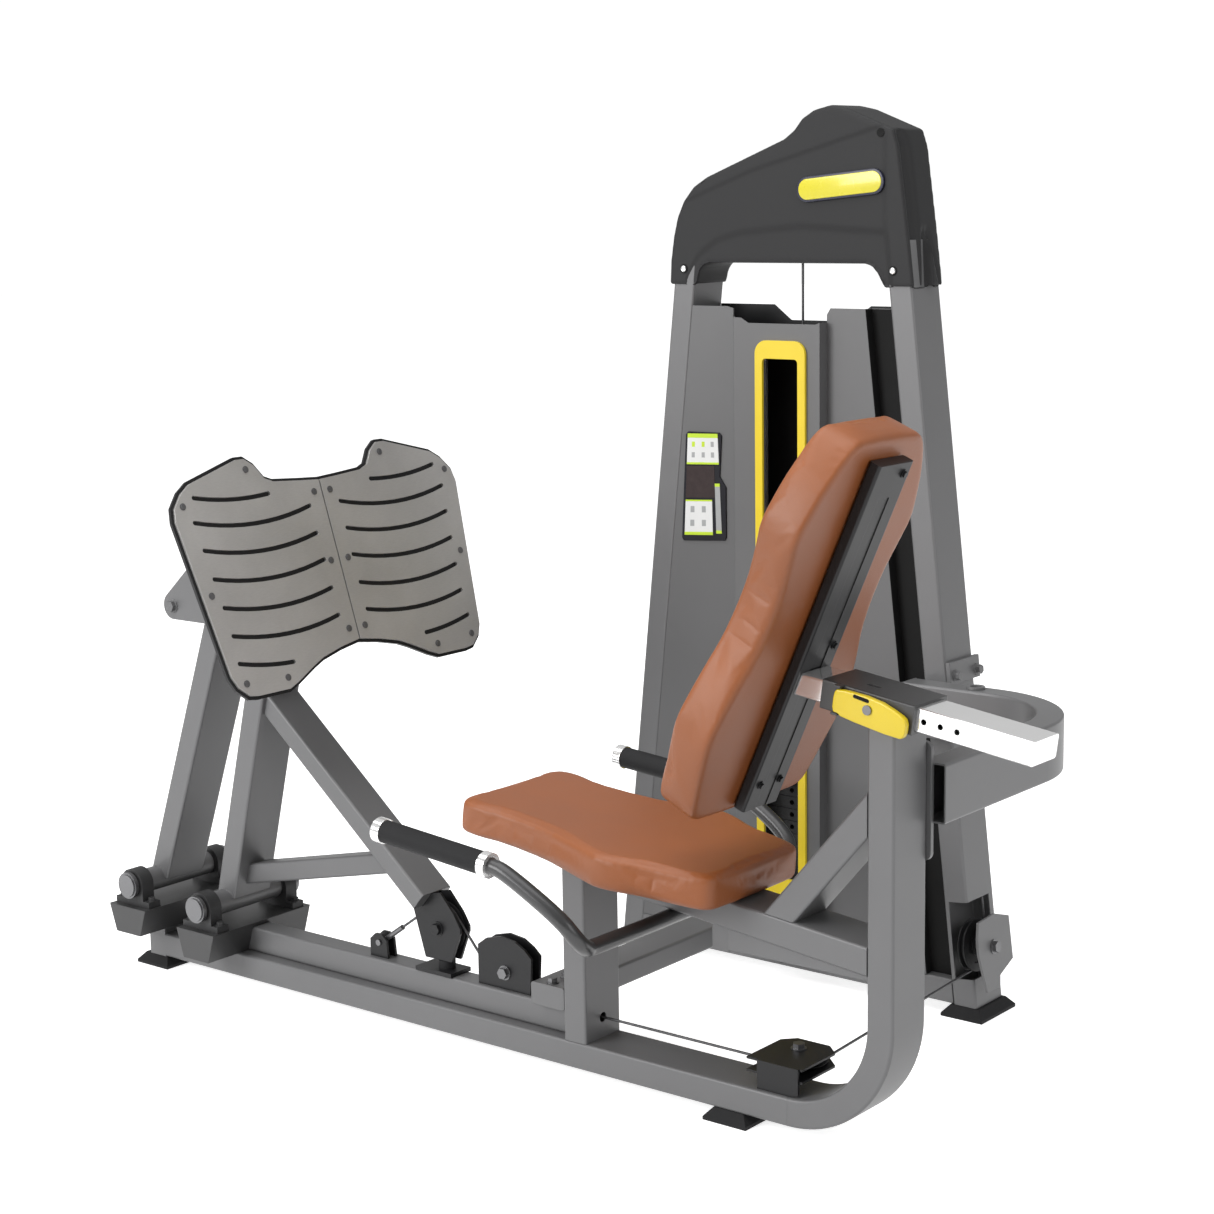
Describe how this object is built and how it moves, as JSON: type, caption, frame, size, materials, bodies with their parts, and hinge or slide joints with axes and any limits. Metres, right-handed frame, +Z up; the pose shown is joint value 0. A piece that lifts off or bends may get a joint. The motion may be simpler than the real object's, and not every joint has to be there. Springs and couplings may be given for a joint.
{
  "type": "leg press machine",
  "caption": "Seated leg press with a swinging foot plate on a four-bar link, sliding backrest, cable drive and a shrouded weight stack.",
  "frame": {"origin": "centre of the whole machine's box at floor level", "axes": "+X to the rear behind the user, +Y to the weight tower, +Z up"},
  "size_m": [2.071, 1.136, 1.72],
  "materials": {
    "frame_paint": "satin metallic grey powder coat",
    "shroud_paint": "satin metallic grey sheet",
    "black_paint": "satin black powder coat",
    "cast_housing": "painted casting",
    "turned_steel": "machined and zinc plated",
    "tan_leather": "tan upholstery leather, fine grain",
    "black_rubber": "matt rubber",
    "bright_chrome": "polished chrome plate",
    "yellow_plastic": "moulded yellow",
    "badge_plastic": "plain yellow panel with a dark rim",
    "placard_plastic": "plain printed panel",
    "cover_plastic": "fine textured charcoal moulding",
    "cast_plates": "dark painted plates",
    "wire_rope": "stranded steel rope",
    "pulley_nylon": "black nylon",
    "brushed_alloy": "brushed warm grey",
    "knob_plastic": "moulded black"
  },
  "bodies": {
    "frame": {"base_beam": "frame_paint", "upright": "frame_paint", "upper_tube": "frame_paint", "shaft_channels": "frame_paint", "bearing_blocks": "cast_housing", "link_shafts": "turned_steel", "seat_post": "frame_paint", "cross_beam": "frame_paint", "seat_rail": "frame_paint", "seat_brace": "frame_paint", "seat_cushion": "tan_leather", "handle_bar": "frame_paint", "hand_grips": "black_rubber", "grip_fittings": "bright_chrome", "rail_housing": "frame_paint", "corner_connector": "frame_paint", "connector_clamp": "frame_paint", "tower_front_leg": "frame_paint", "tower_rear_leg": "frame_paint", "tower_cross_beams": "frame_paint", "guide_rods": "bright_chrome", "shroud_sides": "shroud_paint", "shroud_center": "shroud_paint", "shroud_back": "black_paint", "window_frame": "yellow_plastic", "placard": "placard_plastic", "top_cover_near": "cover_plastic", "top_cover_far": "cover_plastic", "badge": "badge_plastic", "foot_pads": "black_rubber", "resting_plates": "cast_plates", "rubber_bumpers": "black_rubber", "pulley_brackets": "black_paint", "frame_bolts": "turned_steel", "main_cable": "wire_rope", "stack_cable": "wire_rope"},
    "press_arm": {"arm_leg": "frame_paint", "arm_diagonal": "frame_paint", "arm_brace": "frame_paint", "arm_pulley_bracket": "black_paint"},
    "arm_pulley": {"arm_pulley": "pulley_nylon"},
    "front_link": {"front_link_tube": "frame_paint"},
    "foot_carriage": {"carriage_frame": "frame_paint", "plate_backing": "black_paint", "left_foot_plate": "brushed_alloy", "right_foot_plate": "brushed_alloy", "plate_screws": "turned_steel"},
    "back_rest": {"back_cushion": "tan_leather", "back_channel": "black_paint", "slide_rail": "bright_chrome"},
    "release_lever": {"release_lever": "yellow_plastic"},
    "lock_pin": {"lock_pin": "turned_steel"},
    "weight_stack": {"lifted_plates": "cast_plates", "selector_stem": "turned_steel"},
    "selector_pin": {"selector_pin": "knob_plastic"},
    "fixed_pulley": {"fixed_pulley": "pulley_nylon"},
    "corner_pulley": {"corner_pulley": "pulley_nylon"},
    "tower_pulley": {"tower_pulley": "pulley_nylon"},
    "top_pulley_rear": {"top_pulley_rear": "pulley_nylon"},
    "top_pulley_front": {"top_pulley_front": "pulley_nylon"}
  },
  "joints": [
    {"name": "press_arm_hinge", "type": "hinge", "parent": "frame", "child": "press_arm", "pos_m": [-0.7725, -0.192, 0.175], "axis": [0, -1, 0], "range_deg": [0, 34], "deforming": ["main_cable"]},
    {"name": "front_link_hinge", "type": "hinge", "parent": "frame", "child": "front_link", "pos_m": [-0.9745, -0.192, 0.19], "axis": [0, -1, 0], "range_deg": [0, 34]},
    {"name": "carriage_hinge", "type": "hinge", "parent": "press_arm", "child": "foot_carriage", "pos_m": [-0.6715, -0.192, 0.753], "axis": [0, -1, 0], "range_deg": [-34, 0]},
    {"name": "arm_pulley_spin", "type": "hinge", "parent": "press_arm", "child": "arm_pulley", "pos_m": [-0.2245, -0.192, 0.208], "axis": [0, -1, 0], "range_deg": [0, 258]},
    {"name": "fixed_pulley_spin", "type": "hinge", "parent": "frame", "child": "fixed_pulley", "pos_m": [-0.0595, -0.192, 0.154], "axis": [0, 1, 0], "range_deg": [0, 723]},
    {"name": "corner_pulley_spin", "type": "hinge", "parent": "frame", "child": "corner_pulley", "pos_m": [0.5505, -0.148, 0.11], "axis": [0, 0, -1], "range_deg": [0, 723]},
    {"name": "tower_pulley_spin", "type": "hinge", "parent": "frame", "child": "tower_pulley", "pos_m": [0.5315, 0.476, 0.14], "axis": [-0.9937, 0, -0.1118], "range_deg": [0, 723]},
    {"name": "top_pulley_rear_spin", "type": "hinge", "parent": "frame", "child": "top_pulley_rear", "pos_m": [0.33182, 0.52, 1.52108], "axis": [0, 1, 0], "range_deg": [0, 723]},
    {"name": "top_pulley_front_spin", "type": "hinge", "parent": "frame", "child": "top_pulley_front", "pos_m": [0.1675, 0.503, 1.521], "axis": [0, 1, 0], "range_deg": [0, 723]},
    {"name": "stack_lift", "type": "slide", "parent": "frame", "child": "weight_stack", "axis": [0, 0, 1], "range_m": [0, 0.553], "deforming": ["stack_cable"]},
    {"name": "selector_pin_slide", "type": "slide", "parent": "weight_stack", "child": "selector_pin", "axis": [0, -1, 0], "range_m": [0, 0.07]},
    {"name": "backrest_slide", "type": "slide", "parent": "frame", "child": "back_rest", "axis": [0.9903, 0, -0.1392], "range_m": [-0.15, 0.03]},
    {"name": "release_lever_hinge", "type": "hinge", "parent": "frame", "child": "release_lever", "pos_m": [0.69302, -0.24875, 0.76518], "axis": [-0.1392, 0, -0.9903], "range_deg": [0, 6], "stiffness_Nm_per_rad": 4},
    {"name": "lock_pin_slide", "type": "slide", "parent": "frame", "child": "lock_pin", "axis": [0, -1, 0], "range_m": [0, 0.0085]}
  ],
  "couplings": [
    {"joint": "front_link_hinge", "follows": "press_arm_hinge", "ratio": 1},
    {"joint": "carriage_hinge", "follows": "press_arm_hinge", "ratio": -1},
    {"joint": "stack_lift", "follows": "press_arm_hinge", "m_per_rad": 0.93189},
    {"joint": "arm_pulley_spin", "follows": "press_arm_hinge", "ratio": 7.5364},
    {"joint": "fixed_pulley_spin", "follows": "press_arm_hinge", "ratio": 21.18},
    {"joint": "corner_pulley_spin", "follows": "press_arm_hinge", "ratio": 21.18},
    {"joint": "tower_pulley_spin", "follows": "press_arm_hinge", "ratio": 21.18},
    {"joint": "top_pulley_rear_spin", "follows": "press_arm_hinge", "ratio": 21.18},
    {"joint": "top_pulley_front_spin", "follows": "press_arm_hinge", "ratio": 21.18},
    {"joint": "lock_pin_slide", "follows": "release_lever_hinge", "m_per_rad": 0.08}
  ]
}
